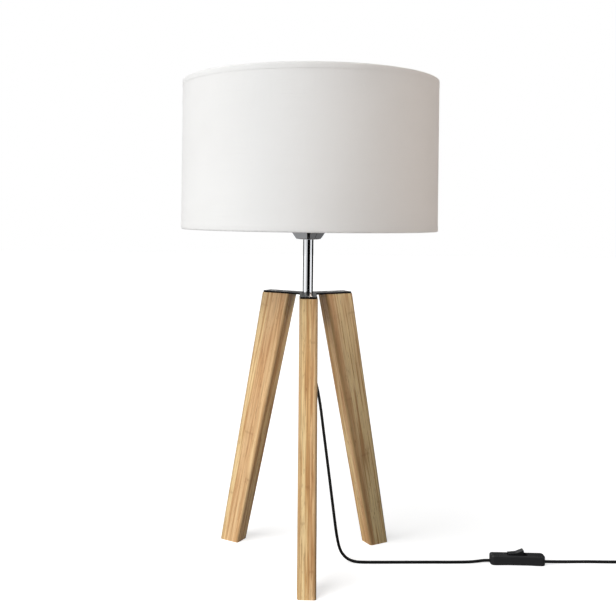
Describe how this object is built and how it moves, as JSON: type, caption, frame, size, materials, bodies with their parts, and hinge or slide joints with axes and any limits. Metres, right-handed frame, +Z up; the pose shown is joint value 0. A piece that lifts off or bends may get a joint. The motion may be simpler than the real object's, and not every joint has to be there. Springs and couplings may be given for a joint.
{
  "type": "table lamp",
  "caption": "Table lamp with a drum shade on a short polished stem, three splayed bamboo legs under a star plate, and a lead with an inline switch and plug.",
  "frame": {"origin": "on the floor, on the vertical axis of the stem", "axes": "+Z up along the stem, -Y towards the front leg, +X to the side where the lead runs"},
  "size_m": [0.5771, 0.296, 0.55],
  "materials": {
    "bamboo": "clear satin lacquer on vertical-grain laminated bamboo",
    "black_metal": "semi-gloss black powder coat",
    "chrome": "polished",
    "zinc_steel": "zinc plated",
    "wire_white": "white epoxy",
    "shade_cloth": "off-white woven cloth",
    "shade_lining": "white translucent film",
    "black_plastic": "fine satin mould finish",
    "cord_black": "smooth PVC",
    "core_insulation": "PVC core insulation",
    "brass": "plain",
    "ceramic": "unglazed",
    "nickel": "nickel plated"
  },
  "bodies": {
    "base": {"front_leg": "bamboo", "rear_left_leg": "bamboo", "rear_right_leg": "bamboo", "star_plate": "black_metal", "leg_screws": "black_metal", "threaded_pipe": "zinc_steel", "pipe_washer": "zinc_steel", "pipe_nut": "zinc_steel", "stem_tube": "chrome", "holder_cup": "chrome", "holder_base": "black_plastic", "holder_insulator": "ceramic", "holder_skirt": "black_plastic", "socket_shell": "brass", "centre_contact": "brass", "side_contact": "brass", "holder_terminals": "brass", "core_wires": "core_insulation", "cord_grip": "black_plastic", "cord_relief": "cord_black", "inner_cord": "cord_black", "switch_base": "black_plastic", "switch_cover": "black_plastic", "switch_axle": "zinc_steel", "fixed_contacts": "brass", "switch_screws": "zinc_steel", "switch_cord_ends": "cord_black", "switch_cores": "core_insulation", "plug_body": "black_plastic", "plug_relief": "black_plastic", "plug_pins": "nickel", "pin_sleeves": "black_plastic", "cord_to_switch": "cord_black", "cord_to_coil": "cord_black", "cord_coil": "cord_black", "cord_to_plug": "cord_black", "coil_tie": "black_plastic"},
    "shade": {"shade_fabric": "shade_cloth", "shade_liner": "shade_lining", "bottom_hem": "shade_cloth", "top_hem": "shade_cloth", "bottom_wire": "wire_white", "top_wire": "wire_white", "shade_fitter": "wire_white"},
    "ring": {"shade_ring": "black_plastic"},
    "rocker": {"switch_rocker": "black_plastic", "rocker_blade": "brass"}
  },
  "joints": [
    {"name": "shade_lift", "type": "slide", "parent": "base", "child": "shade", "axis": [0, 0, 1], "range_m": [0, 0.05]},
    {"name": "ring_turn", "type": "hinge", "parent": "shade", "child": "ring", "pos_m": [0, 0, 0.4105], "axis": [0, 0, 1], "continuous": true},
    {"name": "rocker_tip", "type": "hinge", "parent": "base", "child": "rocker", "pos_m": [0.2433, -0.009, 0.0065], "axis": [0, 1, 0], "range_deg": [0, 28]}
  ]
}
